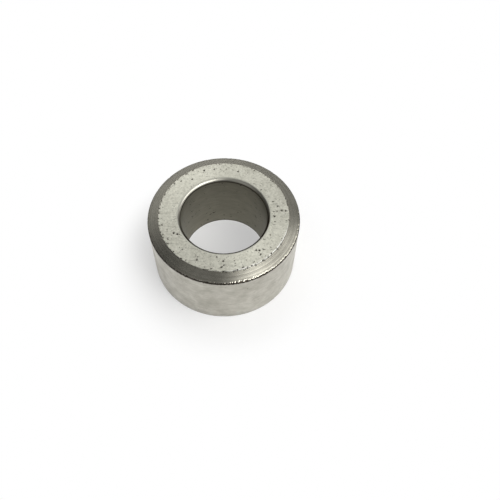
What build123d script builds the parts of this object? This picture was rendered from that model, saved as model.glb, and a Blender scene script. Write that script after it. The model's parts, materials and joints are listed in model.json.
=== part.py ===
from build123d import *

import os

# Ground steel spacer sleeve: one short, thick ring, turned and ground from a single bar.
# Millimetres. +Z runs along the bore, out of the end that has the lead-in cone. The origin
# is the centre of the plain end, which the sleeve stands on.

# Driving dimensions
outside_diameter = 44.45  # 1 3/4 in, ground
bore_diameter = 25.40  # 1 in, a sliding fit on its shaft
length = 22.225  # 7/8 in between the two ground end faces
lead_in_width = 3.25  # radial width of the lead-in cone round the upper face
lead_in_depth = 1.15  # height that the cone falls over that width
rim_radius = 0.35  # rounding where the cone meets the outside
foot_break = 0.30  # chamfer that breaks the outer edge of the plain end
mouth_radius = 1.10  # rounding at both mouths of the bore


def sleeve_section():
    """Half of the section: plain end below, lead-in cone at the upper outer corner."""
    outside = outside_diameter / 2
    wall = bore_diameter / 2
    with BuildSketch(Plane.XZ) as section:
        with BuildLine():
            Polyline(
                (wall, 0),
                (outside, 0),
                (outside, length - lead_in_depth),
                (outside - lead_in_width, length),
                (wall, length),
                close=True,
            )
        make_face()

        bore_mouths = section.vertices().group_by(Axis.X)[0]
        fillet(bore_mouths, mouth_radius)
        rim = section.vertices().group_by(Axis.X)[-1].sort_by(Axis.Y)[-1]
        fillet(rim, rim_radius)
        foot = section.vertices().group_by(Axis.X)[-1].sort_by(Axis.Y)[0]
        chamfer(foot, foot_break)
    return section.sketch


def sleeve():
    """The section turned once round the bore's axis."""
    with BuildPart() as part:
        add(sleeve_section())
        revolve(axis=Axis.Z)
    return part.part


os.makedirs("parts", exist_ok=True)
export_step(sleeve(), "parts/sleeve.step")
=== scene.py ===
import json
import math
import random

import bpy
from mathutils import Matrix, Vector


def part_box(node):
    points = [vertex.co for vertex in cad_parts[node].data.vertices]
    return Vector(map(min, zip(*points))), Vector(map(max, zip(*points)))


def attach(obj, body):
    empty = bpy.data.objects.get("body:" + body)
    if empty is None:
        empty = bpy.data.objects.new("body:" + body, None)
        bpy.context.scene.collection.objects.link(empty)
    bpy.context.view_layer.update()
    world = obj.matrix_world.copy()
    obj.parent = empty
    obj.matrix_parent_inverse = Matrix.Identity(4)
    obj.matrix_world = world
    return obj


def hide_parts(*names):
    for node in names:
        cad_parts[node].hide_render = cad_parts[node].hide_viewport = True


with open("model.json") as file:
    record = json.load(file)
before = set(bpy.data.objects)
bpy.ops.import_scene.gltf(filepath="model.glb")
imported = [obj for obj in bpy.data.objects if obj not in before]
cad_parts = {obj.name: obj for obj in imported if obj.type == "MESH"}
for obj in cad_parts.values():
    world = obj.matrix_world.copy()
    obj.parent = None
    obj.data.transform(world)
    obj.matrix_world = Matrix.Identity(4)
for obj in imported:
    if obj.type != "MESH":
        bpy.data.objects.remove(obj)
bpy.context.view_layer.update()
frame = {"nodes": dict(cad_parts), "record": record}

# ---------------------------------------------------------------------------
# Spacer sleeve
# One ring of carbon steel, turned from bar, then ground on its ends and its
# outside. Use has chipped the face's edge, nicked the rim and pitted the face.
# It is drawn as its section, rolled up strip by strip.
# ---------------------------------------------------------------------------
MM = 0.001  # metres in a millimetre
mounts = {mount["name"]: mount for mount in frame["record"]["mounts"]}
_, sleeve_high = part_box("sleeve")
flat_within = 0.001 * MM
sleeve_points = [vertex.co for vertex in frame["nodes"]["sleeve"].data.vertices]
upper_face = [point for point in sleeve_points if sleeve_high.z - point.z < flat_within]
face_edge = max(math.hypot(point.x, point.y) for point in upper_face)
WITHIN = 0.004 * MM  # the drawn sleeve keeps this far inside the measured one
length = sleeve_high.z - WITHIN
outside = sleeve_high.x - WITHIN
bore = mounts["bore"]["dims"]["r_mm"] * MM
mouth = (length - mounts["bore"]["dims"]["length_mm"] * MM) / 2
straight = mounts["outside"]["dims"]["length_mm"] * MM
foot = mounts["outside"]["pos_m"][2] - straight / 2
cone_depth = 1.15 * MM  # height that the lead-in cone falls
rim_round = 0.35 * MM  # rounding where the cone meets the outside
shoulder_height = 0.8 * MM  # top of the outside, drawn finely for the rim's nicks
cone_slope = math.atan2(cone_depth, outside - face_edge)
rim_centre = Vector((outside - rim_round, 0, foot + straight))


def on_arc(centre, radius, degrees):
    """A point of the section on an arc, with 0 degrees outwards and 90 up."""
    turn = math.radians(degrees)
    return centre + radius * Vector((math.cos(turn), 0, math.sin(turn)))


# The rim's rounding runs from the straight outside to the cone.
cone_end_angle = 90 - math.degrees(cone_slope)
rim_start = on_arc(rim_centre, rim_round, 0)
rim_middle = on_arc(rim_centre, rim_round, cone_end_angle / 2)
rim_end = on_arc(rim_centre, rim_round, cone_end_angle)
upper_mouth = Vector((bore + mouth, 0, length - mouth))
lower_mouth = Vector((bore + mouth, 0, mouth))
shoulder = rim_start - Vector((0, 0, shoulder_height))

# The section, from the foot up the outside and down through the bore:
# each strip's name, finish, mesh rows, and the points it runs through.
section = [
    ("foot", "ground_outside", 2, [(outside - foot, 0, 0), (outside, 0, foot)]),
    ("outside", "ground_outside", 7, [(outside, 0, foot), shoulder]),
    ("shoulder", "ground_outside", 5, [shoulder, rim_start]),
    ("rim", "turned_cone", 8, [rim_start, rim_middle, rim_end]),
    ("cone", "turned_cone", 17, [rim_end, (face_edge, 0, length)]),
    ("face", "ground_face", 30, [(face_edge, 0, length), on_arc(upper_mouth, mouth, 90)]),
    ("upper mouth", "honed_bore", 10, [on_arc(upper_mouth, mouth, turn) for turn in (90, 135, 180)]),
    ("bore", "honed_bore", 6, [on_arc(upper_mouth, mouth, 180), on_arc(lower_mouth, mouth, 180)]),
    ("lower mouth", "honed_bore", 6, [on_arc(lower_mouth, mouth, turn) for turn in (180, 225, 270)]),
    ("plain end", "ground_face", 4, [on_arc(lower_mouth, mouth, 270), (outside - foot, 0, 0)]),
]
STEPS_AROUND = 1000


def put(tree, kind, *values, links=None, **settings):
    """Adds a node, sets its settings, fills or links its inputs in order or by name, and
    returns its first output in use. The node itself is that output's .node."""
    made = tree.nodes.new(kind)
    for name, value in settings.items():
        setattr(made, name, value)
    usable = [socket for socket in made.inputs if socket.enabled]
    pairs = list(zip(usable, values))
    pairs += [(made.inputs[name], value) for name, value in (links or {}).items()]
    for socket, value in pairs:
        if isinstance(value, bpy.types.NodeSocket):
            tree.links.new(value, socket)
        elif value is not None:
            socket.default_value = value
    return next((socket for socket in made.outputs if socket.enabled), made)


# One strip: a flat grid whose length is bent round the axis and whose height
# follows the section. The grid's own map is kept, in two halves one above the
# other, as the flat layout that a texture of this piece is painted on.
strip = bpy.data.node_groups.new("rolled_strip", "GeometryNodeTree")
strip.interface.new_socket("Geometry", in_out="OUTPUT", socket_type="NodeSocketGeometry")
strip_inputs = {
    "Section": "Geometry",
    "Around": "Int",
    "Rows": "Int",
    "Map start": "Float",
    "Map share": "Float",
    "Finish": "Material",
}
for name, kind in strip_inputs.items():
    strip.interface.new_socket(name, in_out="INPUT", socket_type=f"NodeSocket{kind}")
given = put(strip, "NodeGroupInput").node.outputs
around = put(strip, "ShaderNodeMath", given["Around"], 1.0, operation="ADD")
rows = put(strip, "ShaderNodeMath", given["Rows"], 1.0, operation="ADD")
grid = put(strip, "GeometryNodeMeshGrid", 1.0, 1.0, around, rows)
place = put(strip, "GeometryNodeInputPosition")
from_corner = put(strip, "ShaderNodeVectorMath", place, (0.5, 0.5, 0.0), operation="ADD")
flat_xyz = put(strip, "ShaderNodeSeparateXYZ", from_corner).node.outputs
sampled = put(
    strip,
    "GeometryNodeSampleCurve",
    links={"Curves": given["Section"], "Factor": flat_xyz["Y"]},
    mode="FACTOR",
)
on_section = sampled.node.outputs["Position"]
turn = put(strip, "ShaderNodeMath", flat_xyz["X"], math.tau, operation="MULTIPLY")
rolled = put(
    strip,
    "ShaderNodeVectorRotate",
    links={"Vector": on_section, "Angle": turn},
    rotation_type="Z_AXIS",
)
map_xyz = put(strip, "ShaderNodeSeparateXYZ", grid.node.outputs["UV Map"]).node.outputs
half_turns = put(strip, "ShaderNodeMath", map_xyz["X"], 2.0, operation="MULTIPLY")
of_face = put(strip, "GeometryNodeFieldOnDomain", half_turns, domain="FACE")
half = put(strip, "ShaderNodeMath", of_face, operation="FLOOR")
map_x = put(strip, "ShaderNodeMath", half_turns, half, operation="SUBTRACT")
map_y = put(
    strip, "ShaderNodeMath", map_xyz["Y"], given["Map share"], given["Map start"], operation="MULTIPLY_ADD"
)
map_y = put(strip, "ShaderNodeMath", half, 0.5, map_y, operation="MULTIPLY_ADD")
flat_map = put(strip, "ShaderNodeCombineXYZ", map_x, map_y)
mapped = put(
    strip,
    "GeometryNodeStoreNamedAttribute",
    links={"Geometry": grid, "Name": "OFBake", "Value": flat_map},
    data_type="FLOAT2",
    domain="CORNER",
)
bent = put(strip, "GeometryNodeSetPosition", links={"Geometry": mapped, "Position": rolled})
finished = put(strip, "GeometryNodeSetMaterial", links={"Geometry": bent, "Material": given["Finish"]})
put(strip, "NodeGroupOutput", finished)

# The whole sleeve: every strip of the section, joined and welded.
sleeve_tree = bpy.data.node_groups.new("sleeve", "GeometryNodeTree")
sleeve_tree.interface.new_socket("Geometry", in_out="OUTPUT", socket_type="NodeSocketGeometry")
sizes = {"Around": STEPS_AROUND}
kinds = {"Around": "NodeSocketInt"}
for strip_name, _, _, points in section:
    for number, point in enumerate(points):
        sizes[f"{strip_name} {number}"] = point
        kinds[f"{strip_name} {number}"] = "NodeSocketVector"
depths = {"Nick depth": 0.13 * MM, "Chip depth": 0.08 * MM, "Pit depth": 0.11 * MM, "Seed": 7.0}
sizes |= depths
kinds |= {name: "NodeSocketFloat" for name in depths}
finish_names = ("ground_outside", "turned_cone", "ground_face", "honed_bore")
kinds |= {name: "NodeSocketMaterial" for name in finish_names}
kinds["Pits"] = "NodeSocketObject"
sockets = {
    name: sleeve_tree.interface.new_socket(name, in_out="INPUT", socket_type=kind)
    for name, kind in kinds.items()
}
given = put(sleeve_tree, "NodeGroupInput").node.outputs
joined = put(sleeve_tree, "GeometryNodeJoinGeometry").node
perimeter = sum((Vector(points[-1]) - Vector(points[0])).length for _, _, _, points in section)
arc_points = 64
map_gap = 0.004  # bare edge round each half of the layout
map_start = map_gap
for strip_name, finish, strip_rows, points in section:
    ends = [given[f"{strip_name} {number}"] for number in range(len(points))]
    if len(points) == 2:
        drawn = put(
            sleeve_tree,
            "GeometryNodeCurvePrimitiveLine",
            links={"Start": ends[0], "End": ends[1]},
            mode="POINTS",
        )
    else:
        drawn = put(
            sleeve_tree,
            "GeometryNodeCurveArc",
            links={"Start": ends[0], "Middle": ends[1], "End": ends[2], "Resolution": arc_points},
            mode="POINTS",
        )
    share = (Vector(points[-1]) - Vector(points[0])).length / perimeter * (0.5 - 2 * map_gap)
    made = put(
        sleeve_tree,
        "GeometryNodeGroup",
        node_tree=strip,
        links={
            "Section": drawn,
            "Around": given["Around"],
            "Rows": strip_rows,
            "Map start": map_start,
            "Map share": share,
            "Finish": given[finish],
        },
    )
    sleeve_tree.links.new(made, joined.inputs["Geometry"])
    map_start += share
weld_within = 0.002 * MM
welded = put(
    sleeve_tree,
    "GeometryNodeMergeByDistance",
    links={"Geometry": joined.outputs[0], "Distance": weld_within},
)

# Marks of use, each as a depth to take off along the surface's normal.
# Distances to a mark are in millimetres, from a place that strays a little, so
# that no mark has a clean outline. A noise takes its place, its seed, its scale
# per millimetre, its detail and its roughness. A map range takes a value, the
# range it is read from and the range it becomes.
strays_by = 0.8  # twice the furthest that a place strays along each axis
here = put(sleeve_tree, "GeometryNodeInputPosition")
spot = put(sleeve_tree, "ShaderNodeVectorMath", here, operation="SCALE", links={"Scale": 1 / MM})
stray = put(sleeve_tree, "ShaderNodeTexNoise", spot, given["Seed"], 2.2, 2.0, 0.6, noise_dimensions="4D")
stray = put(
    sleeve_tree, "ShaderNodeVectorMath", stray.node.outputs["Color"], (0.5, 0.5, 0.5), operation="SUBTRACT"
)
strayed = put(sleeve_tree, "ShaderNodeVectorMath", stray, [strays_by] * 3, spot, operation="MULTIPLY_ADD")
strayed_z = put(sleeve_tree, "ShaderNodeSeparateXYZ", strayed).node.outputs["Z"]
level = put(sleeve_tree, "ShaderNodeVectorMath", strayed, (1.0, 1.0, 0.0), operation="MULTIPLY")
radius = put(sleeve_tree, "ShaderNodeVectorMath", level, operation="LENGTH").node.outputs["Value"]
in_section = put(sleeve_tree, "ShaderNodeCombineXYZ", radius, 0.0, strayed_z)
outward = put(sleeve_tree, "ShaderNodeVectorMath", level, operation="NORMALIZE")

# The rim took knocks all round, most of them on the worn side.
WORN_AND_LIT_SIDE = (0.61, -0.79, 0.0)  # the way out from the axis to near 5 o'clock
worn_way = put(sleeve_tree, "ShaderNodeVectorMath", outward, WORN_AND_LIT_SIDE, operation="DOT_PRODUCT")
worn_way = worn_way.node.outputs["Value"]
smooth_step = {"interpolation_type": "SMOOTHSTEP"}
worn = put(sleeve_tree, "ShaderNodeMapRange", worn_way, 0.4, 0.9, 0.0, 1.0, **smooth_step)
knock_angle = cone_end_angle / 2 + 5  # just above the middle of the rim's rounding
rim_point = on_arc(rim_centre, rim_round, knock_angle) / MM
from_rim = put(sleeve_tree, "ShaderNodeVectorMath", in_section, rim_point, operation="DISTANCE")
from_rim = from_rim.node.outputs["Value"]
near_rim = put(sleeve_tree, "ShaderNodeMapRange", from_rim, 0.1, 0.4, 1.0, 0.0, **smooth_step)
rim_noise = put(
    sleeve_tree, "ShaderNodeTexNoise", spot, given["Seed"], 1.7, 1.0, 0.5, noise_dimensions="4D"
)
nick_from = put(sleeve_tree, "ShaderNodeMapRange", worn, 0.0, 1.0, 0.62, 0.52)
nick_over = put(sleeve_tree, "ShaderNodeMath", rim_noise, nick_from, operation="SUBTRACT")
nick = put(sleeve_tree, "ShaderNodeMapRange", nick_over, 0.0, 0.05, 0.0, 1.0, **smooth_step)
nick = put(sleeve_tree, "ShaderNodeMath", nick, near_rim, operation="MULTIPLY")

# The face was ground after the cone was turned, which left its edge ragged.
edge_point = (face_edge / MM, 0, length / MM)
from_edge = put(sleeve_tree, "ShaderNodeVectorMath", in_section, edge_point, operation="DISTANCE")
from_edge = from_edge.node.outputs["Value"]
near_edge = put(sleeve_tree, "ShaderNodeMapRange", from_edge, 0.1, 0.32, 1.0, 0.0, **smooth_step)
edge_noise = put(
    sleeve_tree, "ShaderNodeTexNoise", spot, given["Seed"], 1.6, 2.0, 0.6, noise_dimensions="4D"
)
chip = put(sleeve_tree, "ShaderNodeMapRange", edge_noise, 0.55, 0.62, 0.0, 1.0, **smooth_step)
chip = put(sleeve_tree, "ShaderNodeMath", chip, near_edge, operation="MULTIPLY")

# The larger pits lie in loose clusters, each by its hour seen from above with
# 12 at the back and how many it holds, and a few lie singly anywhere. A pit has
# its hour, its distance from the axis and its width, in millimetres.
pit_clusters = [(3, 6), (4.5, 3), (6, 4), (8, 3)]
single_pits = 7
cluster_spread = 0.3  # hours
pits_from = (bore + mouth) / MM + 0.4
pits_to = face_edge / MM
narrowest, widest = 0.5, 0.85
draws = random.Random(7)
pit_hours = [draws.gauss(hour, cluster_spread) for hour, count in pit_clusters for _ in range(count)]
pit_hours += [draws.uniform(0, 12) for _ in range(single_pits)]
pits = [(hour, draws.uniform(pits_from, pits_to), draws.uniform(narrowest, widest)) for hour in pit_hours]
pit_mesh = bpy.data.meshes.new("pit_places")
pit_points = [
    Matrix.Rotation(-math.tau * hour / 12, 3, "Z") @ Vector((0, distance * MM, length))
    for hour, distance, _ in pits
]
pit_mesh.from_pydata(pit_points, [], [])
pit_width = pit_mesh.attributes.new("width", "FLOAT", "POINT")
pit_width.data.foreach_set("value", [width for _, _, width in pits])
pit_places = bpy.data.objects.new("pit_places", pit_mesh)
pit_cloud = put(sleeve_tree, "GeometryNodeObjectInfo", links={"Object": given["Pits"]})
pit_cloud = pit_cloud.node.outputs["Geometry"]
nearest = put(sleeve_tree, "GeometryNodeSampleNearest", pit_cloud, domain="POINT")
width = put(sleeve_tree, "GeometryNodeInputNamedAttribute", "width", data_type="FLOAT")
width_here = put(
    sleeve_tree, "GeometryNodeSampleIndex", links={"Geometry": pit_cloud, "Value": width, "Index": nearest}
)
strayed_place = put(sleeve_tree, "ShaderNodeVectorMath", strayed, operation="SCALE", links={"Scale": MM})
to_pit = put(
    sleeve_tree,
    "GeometryNodeProximity",
    links={"Geometry": pit_cloud, "Sample Position": strayed_place},
    target_element="POINTS",
)
to_pit = put(sleeve_tree, "ShaderNodeMath", to_pit.node.outputs["Distance"], 2 / MM, operation="MULTIPLY")
to_pit = put(sleeve_tree, "ShaderNodeMath", to_pit, width_here, operation="DIVIDE")
pit = put(sleeve_tree, "ShaderNodeMapRange", to_pit, 0.3, 1.1, 1.0, 0.0, **smooth_step)

nick_cut = put(sleeve_tree, "ShaderNodeMath", nick, given["Nick depth"], operation="MULTIPLY")
chip_cut = put(sleeve_tree, "ShaderNodeMath", chip, given["Chip depth"], nick_cut, operation="MULTIPLY_ADD")
cut = put(sleeve_tree, "ShaderNodeMath", pit, given["Pit depth"], chip_cut, operation="MULTIPLY_ADD")
inward = put(sleeve_tree, "ShaderNodeMath", cut, -1.0, operation="MULTIPLY")
normal = put(sleeve_tree, "GeometryNodeInputNormal")
offset = put(sleeve_tree, "ShaderNodeVectorMath", normal, operation="SCALE", links={"Scale": inward})
marks = put(sleeve_tree, "ShaderNodeMath", nick, chip, operation="MAXIMUM")
marks = put(sleeve_tree, "ShaderNodeMath", pit, marks, operation="MAXIMUM")
grimed = put(
    sleeve_tree,
    "GeometryNodeStoreNamedAttribute",
    links={"Geometry": welded, "Name": "grime", "Value": marks},
    data_type="FLOAT",
    domain="POINT",
)
marked = put(sleeve_tree, "GeometryNodeSetPosition", links={"Geometry": grimed, "Offset": offset})
smooth = put(sleeve_tree, "GeometryNodeSetShadeSmooth", links={"Geometry": marked, "Shade Smooth": True})
put(sleeve_tree, "NodeGroupOutput", put(sleeve_tree, "GeometryNodeRealizeInstances", smooth))


def linear(hex_code):
    """An sRGB colour, such as c5c7c0, as the linear colour that a shader takes."""
    shares = [int(hex_code[i : i + 2], 16) / 255 for i in (0, 2, 4)]
    return [c / 12.92 if c <= 0.04045 else ((c + 0.055) / 1.055) ** 2.4 for c in shares] + [1.0]


# The colour of oil and dust packed into the marks, also used for the painted shade under the rim and at the
# foot.
GRIME_AND_SHADE = linear("2a2218")  # oil and dust packed into the marks
finishes = {}


def start_finish(name, roughness, lay):
    """Starts one finish of the steel. Returns its tree, its shader, and its place in
    millimetres, distance from the axis and way out from the axis. lay is how strongly
    the tool's marks, which all run round the axis, draw out a reflection across them."""
    finish = bpy.data.materials.new(name)
    finish.use_nodes = True
    tree = finish.node_tree
    shader = tree.nodes["Principled BSDF"]
    shader.inputs["Metallic"].default_value = 1.0
    shader.inputs["Roughness"].default_value = roughness
    shader.inputs["Anisotropic"].default_value = lay
    shader.inputs["Anisotropic Rotation"].default_value = 0.25
    round_axis = put(tree, "ShaderNodeTangent", direction_type="RADIAL", axis="Z")
    tree.links.new(round_axis, shader.inputs["Tangent"])
    at = put(tree, "ShaderNodeTexCoord").node.outputs["Object"]
    at = put(tree, "ShaderNodeVectorMath", at, operation="SCALE", links={"Scale": 1 / MM})
    flat = put(tree, "ShaderNodeVectorMath", at, (1.0, 1.0, 0.0), operation="MULTIPLY")
    away = put(tree, "ShaderNodeVectorMath", flat, operation="LENGTH").node.outputs["Value"]
    way = put(tree, "ShaderNodeVectorMath", flat, operation="NORMALIZE")
    finishes[name] = finish
    return tree, shader, at, away, way


def specks(tree, place, flatness, spacing, widest):
    """A mask of small dark pits about spacing millimetres apart and up to widest across.
    flatness is 2D for a level surface and 3D for a round one. Most places have none."""
    bare_share = 0.6
    soft_edge = 0.05  # millimetres
    cells = put(tree, "ShaderNodeTexVoronoi", place, 1 / spacing, voronoi_dimensions=flatness).node.outputs
    chance = put(tree, "ShaderNodeSeparateXYZ", cells["Color"]).node.outputs["X"]
    half_width = put(tree, "ShaderNodeMapRange", chance, bare_share, 1.0, 0.0, widest / spacing / 2)
    inside = put(tree, "ShaderNodeMath", half_width, cells["Distance"], operation="SUBTRACT")
    return put(tree, "ShaderNodeMapRange", inside, 0.0, soft_edge / spacing, 0.0, 1.0)


def near_ring(tree, at, away, up, ring, full, none):
    """A mask round the whole sleeve: 1 up to full millimetres from a point of the section
    and 0 beyond none, give or take a little, so that its edge has teeth."""
    tooth = 0.8  # millimetres between the noise's lowest and highest values
    in_section = put(tree, "ShaderNodeCombineXYZ", away, 0.0, up)
    to_ring = put(tree, "ShaderNodeVectorMath", in_section, ring, operation="DISTANCE").node.outputs["Value"]
    teeth = put(tree, "ShaderNodeTexNoise", at, 2.0, 2.0, 0.6)
    to_ring = put(tree, "ShaderNodeMath", teeth, -tooth, to_ring, operation="MULTIPLY_ADD")
    return put(tree, "ShaderNodeMapRange", to_ring, full - tooth / 2, none - tooth / 2, 1.0, 0.0)


# Ground face: a fine even grind on carbon steel, pale grey and satin, mottled
# and specked by rust that was cleaned off, with a few straight scratches and a
# painted highlight along its edge on the lit side. The real grinding marks are
# under 0.05 mm apart; here they are 0.3 mm, to be seen.
tree, shader, at, away, way = start_finish("ground_face", 0.42, 0.7)
up = put(tree, "ShaderNodeSeparateXYZ", at).node.outputs["Z"]
cloud = put(tree, "ShaderNodeTexNoise", at, 0.22, 2.0, 0.5)
cloud = put(tree, "ShaderNodeMapRange", cloud, 0.35, 0.65, 0.0, 1.0)
mottle = put(tree, "ShaderNodeTexNoise", at, 1.5, 4.0, 0.7)
mottle = put(tree, "ShaderNodeMapRange", mottle, 0.36, 0.62, 0.0, 1.0)
tone = put(tree, "ShaderNodeMath", cloud, 0.25, operation="MULTIPLY")
tone = put(tree, "ShaderNodeMath", mottle, 0.75, tone, operation="MULTIPLY_ADD")
colour = put(tree, "ShaderNodeMix", tone, linear("b3b2a5"), linear("d2d1c4"), data_type="RGBA")
scratched = put(tree, "ShaderNodeVectorRotate", links={"Vector": at, "Angle": 0.12}, rotation_type="Z_AXIS")
scratched = put(tree, "ShaderNodeVectorMath", scratched, (0.06, 3.2, 1.0), operation="MULTIPLY")
scratches = put(tree, "ShaderNodeTexNoise", scratched, 1.0, 2.0, 0.5)
deep = put(tree, "ShaderNodeMapRange", scratches, 0.63, 0.72, 0.0, 0.35)
stray = put(tree, "ShaderNodeTexNoise", at, 2.5, 1.0, 0.5).node.outputs["Color"]
strayed = put(tree, "ShaderNodeVectorMath", stray, (1.1, 1.1, 0.0), at, operation="MULTIPLY_ADD")
large = put(tree, "ShaderNodeMath", specks(tree, strayed, "2D", 1.7, 0.6), 0.85, operation="MULTIPLY")
small = put(tree, "ShaderNodeMath", specks(tree, strayed, "2D", 0.45, 0.32), 0.6, operation="MULTIPLY")
grime = put(tree, "ShaderNodeAttribute", attribute_name="grime").node.outputs["Fac"]
dirt_and_shade = put(tree, "ShaderNodeMath", large, small, operation="MAXIMUM")
dirt_and_shade = put(tree, "ShaderNodeMath", dirt_and_shade, deep, operation="MAXIMUM")
dirt_and_shade = put(tree, "ShaderNodeMath", dirt_and_shade, grime, operation="MAXIMUM")
# Painted highlight: the face's edge is painted near white on the side toward the right front soft box, where
# its small rounding catches the light.
edge_highlight = put(tree, "ShaderNodeVectorMath", way, WORN_AND_LIT_SIDE, operation="DOT_PRODUCT").node.outputs["Value"]
edge_highlight = put(tree, "ShaderNodeMapRange", edge_highlight, 0.75, 0.9, 0.0, 1.0)
along_edge = near_ring(tree, at, away, up, edge_point, 0.2, 0.34)
edge_highlight = put(tree, "ShaderNodeMath", along_edge, edge_highlight, operation="MULTIPLY")
colour = put(tree, "ShaderNodeMix", edge_highlight, colour, linear("f2f2ea"), data_type="RGBA")
notches = near_ring(tree, at, away, up, edge_point, 0.3, 0.5)
notches = put(tree, "ShaderNodeMath", notches, specks(tree, strayed, "2D", 0.65, 0.7), operation="MULTIPLY")
dirt_and_shade = put(tree, "ShaderNodeMath", dirt_and_shade, notches, operation="MAXIMUM")
colour = put(tree, "ShaderNodeMix", dirt_and_shade, colour, GRIME_AND_SHADE, data_type="RGBA")
tree.links.new(colour, shader.inputs["Base Color"])
grain = put(tree, "ShaderNodeMath", scratches, 0.6, mottle, operation="MULTIPLY_ADD")
height = put(tree, "ShaderNodeMath", dirt_and_shade, -1.5, grain, operation="MULTIPLY_ADD")
bump = put(tree, "ShaderNodeBump", links={"Strength": 1.0, "Distance": 0.006 * MM, "Height": height})
tree.links.new(bump, shader.inputs["Normal"])

# Turned cone: fine rings left by the lathe tool, which draw a reflection out
# across them, so that the cone turns from dark to bright round its width.
# The real rings are under 0.1 mm apart; here they are 0.4 mm, to be seen.
tree, shader, at, away, way = start_finish("turned_cone", 0.22, 0.8)
up = put(tree, "ShaderNodeSeparateXYZ", at).node.outputs["Z"]
ring_place = put(tree, "ShaderNodeMath", away, 2.4, operation="MULTIPLY")
ring_place = put(tree, "ShaderNodeCombineXYZ", 0.0, 0.0, ring_place)
ring_place = put(tree, "ShaderNodeVectorMath", way, (0.4, 0.4, 0.4), ring_place, operation="MULTIPLY_ADD")
rings = put(tree, "ShaderNodeTexNoise", ring_place, 1.0, 1.0, 0.5)
mottle = put(tree, "ShaderNodeTexNoise", at, 0.5, 3.0, 0.6)
tone = put(tree, "ShaderNodeMath", rings, mottle, operation="ADD")
tone = put(tree, "ShaderNodeMapRange", tone, 0.75, 1.25, 0.0, 1.0)
colour = put(tree, "ShaderNodeMix", tone, linear("b3b0a3"), linear("c1beb1"), data_type="RGBA")
# A dark line round the rim's lower rounding: partly grime, partly painted shade under the rim.
rim_line = near_ring(tree, at, away, up, rim_start / MM, 0.29, 0.37)
rim_line = put(tree, "ShaderNodeMath", rim_line, 0.95, operation="MULTIPLY")
grime = put(tree, "ShaderNodeAttribute", attribute_name="grime").node.outputs["Fac"]
dirt_and_shade = put(tree, "ShaderNodeMath", rim_line, grime, operation="MAXIMUM")
colour = put(tree, "ShaderNodeMix", dirt_and_shade, colour, GRIME_AND_SHADE, data_type="RGBA")
tree.links.new(colour, shader.inputs["Base Color"])
bump = put(tree, "ShaderNodeBump", links={"Strength": 1.0, "Distance": 0.02 * MM, "Height": rings})
tree.links.new(bump, shader.inputs["Normal"])

# Ground outside: plunge ground, so its marks run round it, then handled and
# oiled, which leaves patches of a warmer and darker grey and a few scuffs. Shade
# is painted on it too: darker towards its foot, and with grime in a line under
# the rim. The real marks are under 0.1 mm apart; here they are 0.4 mm, to be seen.
tree, shader, at, away, way = start_finish("ground_outside", 0.38, 0.6)
up = put(tree, "ShaderNodeSeparateXYZ", at).node.outputs["Z"]
line_place = put(tree, "ShaderNodeMath", up, 2.6, operation="MULTIPLY")
line_place = put(tree, "ShaderNodeCombineXYZ", 0.0, 0.0, line_place)
line_place = put(tree, "ShaderNodeVectorMath", way, (7.0, 7.0, 7.0), line_place, operation="MULTIPLY_ADD")
lines = put(tree, "ShaderNodeTexNoise", line_place, 1.0, 3.0, 0.6)
patches = put(tree, "ShaderNodeTexNoise", at, 0.26, 6.0, 0.65)
tone = put(tree, "ShaderNodeMath", lines, 0.6, patches, operation="MULTIPLY_ADD")
tone = put(tree, "ShaderNodeMapRange", tone, 0.6, 0.98, 0.0, 1.0)
colour = put(tree, "ShaderNodeMix", tone, linear("aaa79c"), linear("c6c3b9"), data_type="RGBA")
scuff_place = put(tree, "ShaderNodeVectorMath", line_place, (1.3, 1.3, 0.7), operation="MULTIPLY")
scuffs = put(tree, "ShaderNodeTexNoise", scuff_place, 1.0, 2.0, 0.6)
scuffs = put(tree, "ShaderNodeMapRange", scuffs, 0.66, 0.76, 0.0, 0.45)
scuffs = put(tree, "ShaderNodeMath", scuffs, specks(tree, at, "3D", 1.2, 0.4), operation="MAXIMUM")
# A dark line along the top of the outside, just under the rim: partly grime, partly painted shade.
rim_line = near_ring(tree, at, away, up, rim_start / MM, 0.36, 0.46)
# Painted shade: the outside is painted darker towards its foot, where it meets the floor.
foot_shade = put(tree, "ShaderNodeMapRange", up, 0.25, 0.6, 0.6, 0.0)
grime = put(tree, "ShaderNodeAttribute", attribute_name="grime").node.outputs["Fac"]
dirt_and_shade = put(tree, "ShaderNodeMath", scuffs, foot_shade, operation="MAXIMUM")
dirt_and_shade = put(tree, "ShaderNodeMath", dirt_and_shade, 0.8, operation="MULTIPLY")
dirt_and_shade = put(tree, "ShaderNodeMath", dirt_and_shade, rim_line, operation="MAXIMUM")
dirt_and_shade = put(tree, "ShaderNodeMath", dirt_and_shade, grime, operation="MAXIMUM")
colour = put(tree, "ShaderNodeMix", dirt_and_shade, colour, GRIME_AND_SHADE, data_type="RGBA")
tree.links.new(colour, shader.inputs["Base Color"])
satin = put(tree, "ShaderNodeMapRange", patches, 0.35, 0.65, 0.42, 0.34)
tree.links.new(satin, shader.inputs["Roughness"])
bump = put(tree, "ShaderNodeBump", links={"Strength": 1.0, "Distance": 0.009 * MM, "Height": lines})
tree.links.new(bump, shader.inputs["Normal"])

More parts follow.
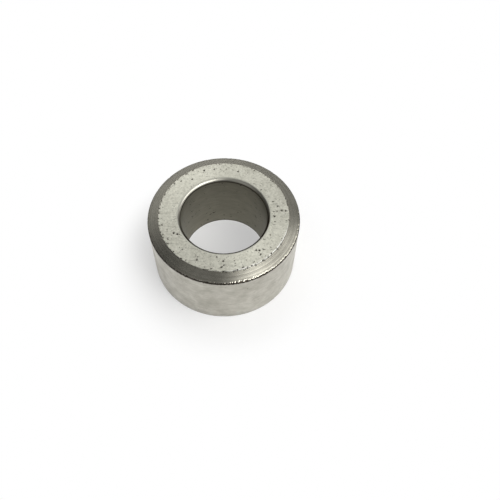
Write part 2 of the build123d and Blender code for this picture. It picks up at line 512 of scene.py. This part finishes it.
# Honed bore: a dull grey, darkened further by painted shade inside the bore,
# with pores. Its mouths were polished by the rounding tool. Oil has dried in a
# dark line where each mouth runs out, and in a brown film on the front of each.
# The real hone's marks are under 0.1 mm apart; here they are 0.9 mm, to be seen.
tree, shader, at, away, way = start_finish("honed_bore", 0.5, 0.3)
up = put(tree, "ShaderNodeSeparateXYZ", at).node.outputs["Z"]
from_middle = put(tree, "ShaderNodeMath", up, length / MM / 2, operation="SUBTRACT")
from_middle = put(tree, "ShaderNodeMath", from_middle, operation="ABSOLUTE")
to_end = put(tree, "ShaderNodeMath", length / MM / 2, from_middle, operation="SUBTRACT")
ground_off = put(tree, "ShaderNodeMapRange", to_end, 0.03, 0.12, 1.0, 0.0)
past_round = put(tree, "ShaderNodeMapRange", to_end, 0.5, 0.9, 0.0, 1.0, **smooth_step)
hone_place = put(tree, "ShaderNodeVectorMath", at, (0.35, 0.35, 1.1), operation="MULTIPLY")
hone = put(tree, "ShaderNodeTexNoise", hone_place, 1.0, 3.0, 0.6)
tone = put(tree, "ShaderNodeMapRange", hone, 0.3, 0.7, 0.0, 1.0)
# The wall's greys are darker than the steel's own. Part of that is painted shade inside the bore.
wall = put(tree, "ShaderNodeMix", tone, linear("7f7c6f"), linear("8b887a"), data_type="RGBA")
line_out = put(tree, "ShaderNodeMath", to_end, mouth / MM - 0.15, operation="SUBTRACT")
line_out = put(tree, "ShaderNodeMath", line_out, operation="ABSOLUTE")
line_out = put(tree, "ShaderNodeMapRange", line_out, 0.1, 0.35, 0.8, 0.0)
stray = put(tree, "ShaderNodeTexNoise", at, 1.5, 1.0, 0.5).node.outputs["Color"]
strayed = put(tree, "ShaderNodeVectorMath", stray, (2.0, 2.0, 2.0), at, operation="MULTIPLY_ADD")
pores = put(tree, "ShaderNodeMath", specks(tree, strayed, "3D", 1.1, 0.7), 0.85, operation="MULTIPLY")
dark = put(tree, "ShaderNodeMath", pores, line_out, operation="MAXIMUM")
wall = put(tree, "ShaderNodeMix", dark, wall, GRIME_AND_SHADE, data_type="RGBA")
colour = put(tree, "ShaderNodeMix", past_round, linear("b8b6ab"), wall, data_type="RGBA")
colour = put(tree, "ShaderNodeMix", ground_off, colour, linear("c0c0b4"), data_type="RGBA")
front = put(tree, "ShaderNodeVectorMath", way, (0.2, -0.98, 0.0), operation="DOT_PRODUCT")
front = put(tree, "ShaderNodeMapRange", front.node.outputs["Value"], -0.3, 0.4, 0.0, 0.95)
dried = put(tree, "ShaderNodeMapRange", to_end, 0.04, 0.1, 0.0, 1.0)
dried = put(tree, "ShaderNodeMath", dried, front, operation="MULTIPLY")
dried_end = put(tree, "ShaderNodeMapRange", to_end, 0.7, 1.0, 1.0, 0.0)
dried = put(tree, "ShaderNodeMath", dried, dried_end, operation="MULTIPLY")
colour = put(tree, "ShaderNodeMix", dried, colour, linear("33271c"), data_type="RGBA")
tree.links.new(colour, shader.inputs["Base Color"])
satin = put(tree, "ShaderNodeMath", past_round, ground_off, operation="MAXIMUM")
satin = put(tree, "ShaderNodeMapRange", satin, 0.0, 1.0, 0.36, 0.5)
tree.links.new(satin, shader.inputs["Roughness"])
bump = put(tree, "ShaderNodeBump", links={"Strength": 1.0, "Distance": 0.003 * MM, "Height": hone})
tree.links.new(bump, shader.inputs["Normal"])

blank = bpy.data.objects.new("blank", bpy.data.meshes.new("blank"))
bpy.context.scene.collection.objects.link(blank)
bpy.context.scene.collection.objects.link(pit_places)
turning = blank.modifiers.new("turning", "NODES")
turning.node_group = sleeve_tree
for name, value in (sizes | finishes | {"Pits": pit_places}).items():
    turning[sockets[name].identifier] = value
made = bpy.data.meshes.new_from_object(blank.evaluated_get(bpy.context.evaluated_depsgraph_get()))
made.materials.pop(index=0)  # the slot that Geometry Nodes keeps for faces with no finish
sleeve = bpy.data.objects.new("spacer_sleeve_visual", made)
bpy.context.scene.collection.objects.link(sleeve)
for spare in (blank, pit_places):
    bpy.data.objects.remove(spare)
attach(sleeve, "root")
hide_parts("sleeve")

# ---------------------------------------------------------------------------
# Floor
# White card. What sees it directly or in a reflection gets a share of plain
# white: about half by the sleeve, where its shadow lies, and all further out.
# ---------------------------------------------------------------------------
floor_mesh = bpy.data.meshes.new("floor")
reach = 2.0
sunk = 0.01 * MM  # keeps the floor clear of the plain end
corners = [(-reach, -reach, 0), (reach, -reach, 0), (reach, reach, 0), (-reach, reach, 0)]
floor_mesh.from_pydata(corners, [], [(0, 1, 2, 3)])
floor_mesh.transform(Matrix.Translation((0, 0, -sunk)))
floor = bpy.data.objects.new("floor", floor_mesh)
bpy.context.scene.collection.objects.link(floor)
card = bpy.data.materials.new("white_card")
card.use_nodes = True
tree = card.node_tree
tree.nodes.clear()
seen = put(tree, "ShaderNodeLightPath").node.outputs
directly = put(tree, "ShaderNodeMath", seen["Is Camera Ray"], seen["Is Glossy Ray"], operation="MAXIMUM")
directly = put(tree, "ShaderNodeMath", directly, seen["Is Transmission Ray"], operation="MAXIMUM")
at = put(tree, "ShaderNodeTexCoord").node.outputs["Object"]
away = put(tree, "ShaderNodeVectorMath", at, operation="LENGTH").node.outputs["Value"]
least_white = 0.46
all_white_from = 38 * MM
white_share = put(
    tree, "ShaderNodeMapRange", away, 23 * MM, all_white_from, least_white, 1.0, **smooth_step
)
glow_share = put(tree, "ShaderNodeMath", directly, white_share, operation="MULTIPLY")
lit = put(tree, "ShaderNodeBsdfDiffuse", linear("f9f9f8"))
glow = put(tree, "ShaderNodeEmission", linear("ffffff"), 1.0)
put(tree, "ShaderNodeOutputMaterial", put(tree, "ShaderNodeMixShader", glow_share, lit, glow))
floor_mesh.materials.append(card)

# ---------------------------------------------------------------------------
# Studio
# A white room, kept out of the steel by a dark cloth tent that the camera
# looks through. Six soft boxes stand round the sleeve at steps of 45 degrees,
# strong at right front, right and behind. They are weak elsewhere and above.
# ---------------------------------------------------------------------------
world = bpy.data.worlds.new("white_room")
bpy.context.scene.world = world
world.use_nodes = True
world.node_tree.nodes["Background"].inputs["Color"].default_value = (1, 1, 1, 1)
world.node_tree.nodes["Background"].inputs["Strength"].default_value = 1.0

tent_mesh = bpy.data.meshes.new("tent")
tent_reach = 1.3
sides = 32
hoops = [
    Vector((tent_reach, 0, 0)) @ Matrix.Rotation(math.radians(rise), 3, "Y") for rise in range(1, 90, 8)
]
tent_points = [
    Matrix.Rotation(math.tau * step / sides, 3, "Z") @ hoop for hoop in hoops for step in range(sides)
]
tent_faces = []
for row in range(len(hoops) - 1):
    low, high = row * sides, (row + 1) * sides
    for step in range(sides):
        after = (step + 1) % sides
        tent_faces.append((low + step, low + after, high + after, high + step))
tent_faces.append(tuple(range((len(hoops) - 1) * sides, len(hoops) * sides)))
tent_mesh.from_pydata(tent_points, [], tent_faces)
cloth = bpy.data.materials.new("dark_cloth")
cloth.use_nodes = True
tree = cloth.node_tree
tree.nodes.clear()
put(tree, "ShaderNodeOutputMaterial", put(tree, "ShaderNodeBsdfDiffuse", linear("2c2c2c")))
tent_mesh.materials.append(cloth)
tent = bpy.data.objects.new("tent", tent_mesh)
tent.visible_camera = False
bpy.context.scene.collection.objects.link(tent)


def soft_box(name, bearing, rise, spread, level):
    """A soft box 1 m from the sleeve, facing it. bearing is anticlockwise from +X and rise
    is above the floor, both in degrees. level is how bright the middle of its cloth is,
    where plain white is 1. The cloth falls to half of that at spread metres from there."""
    across = 5.0  # the cloth's width in spreads, out to where it gives next to nothing
    lamp = bpy.data.lights.new(name, "AREA")
    lamp.shape = "DISK"
    lamp.size = across * spread
    lamp.energy = level * math.pi * math.pi / 4 * lamp.size**2
    lamp.use_nodes = True
    tree = lamp.node_tree
    tree.nodes.clear()
    on_cloth = put(tree, "ShaderNodeNewGeometry").node.outputs["Parametric"]
    off_middle = put(tree, "ShaderNodeVectorMath", on_cloth, (0.5, 0.5, 0.0), operation="SUBTRACT")
    off_middle = put(tree, "ShaderNodeVectorMath", off_middle, (across, across, 0.0), operation="MULTIPLY")
    squared = put(tree, "ShaderNodeVectorMath", off_middle, off_middle, operation="DOT_PRODUCT")
    fall = put(tree, "ShaderNodeMath", 0.5, squared.node.outputs["Value"], operation="POWER")
    put(tree, "ShaderNodeOutputLight", put(tree, "ShaderNodeEmission", (1.0, 1.0, 1.0, 1.0), fall))
    box = bpy.data.objects.new(name, lamp)
    box.visible_camera = False
    aim = Matrix.Rotation(math.radians(bearing), 4, "Z") @ Matrix.Rotation(math.radians(90 - rise), 4, "Y")
    box.matrix_world = aim @ Matrix.Translation((0, 0, 1.0))
    bpy.context.scene.collection.objects.link(box)


soft_box("right_front", -45, 45, 0.3, 6.3)
soft_box("right", 0, 30, 0.3, 3.3)
soft_box("right_behind", 45, 30, 0.3, 0.2)
soft_box("behind", 90, 45, 0.3, 2.3)
soft_box("above", 0, 90, 0.5, 0.2)
soft_box("left", 135, 30, 0.4, 0.25)
soft_box("left_front", 225, 30, 0.4, 0.6)

# ---------------------------------------------------------------------------
# Camera
# Stands about four sleeve widths away and looks down at it from in front, with
# the sleeve left of the middle and a slight roll.
# ---------------------------------------------------------------------------
camera_data = bpy.data.cameras.new("camera")
camera_data.lens = 41.5
camera_data.clip_start = 0.01
camera = bpy.data.objects.new("camera", camera_data)
bpy.context.scene.collection.objects.link(camera)
elevation = math.radians(59.1)
distance = 186.4 * MM
turn_right, turn_up, roll = math.radians(2.478), math.radians(0.30), math.radians(1.79)
camera.matrix_world = (
    Matrix.Translation((0, -distance * math.cos(elevation), distance * math.sin(elevation)))
    @ Matrix.Rotation(math.pi / 2 - elevation, 4, "X")
    @ Matrix.Rotation(-turn_right, 4, "Y")
    @ Matrix.Rotation(turn_up, 4, "X")
    @ Matrix.Rotation(-roll, 4, "Z")
)
bpy.context.scene.camera = camera
bpy.context.scene.view_settings.view_transform = "Standard"
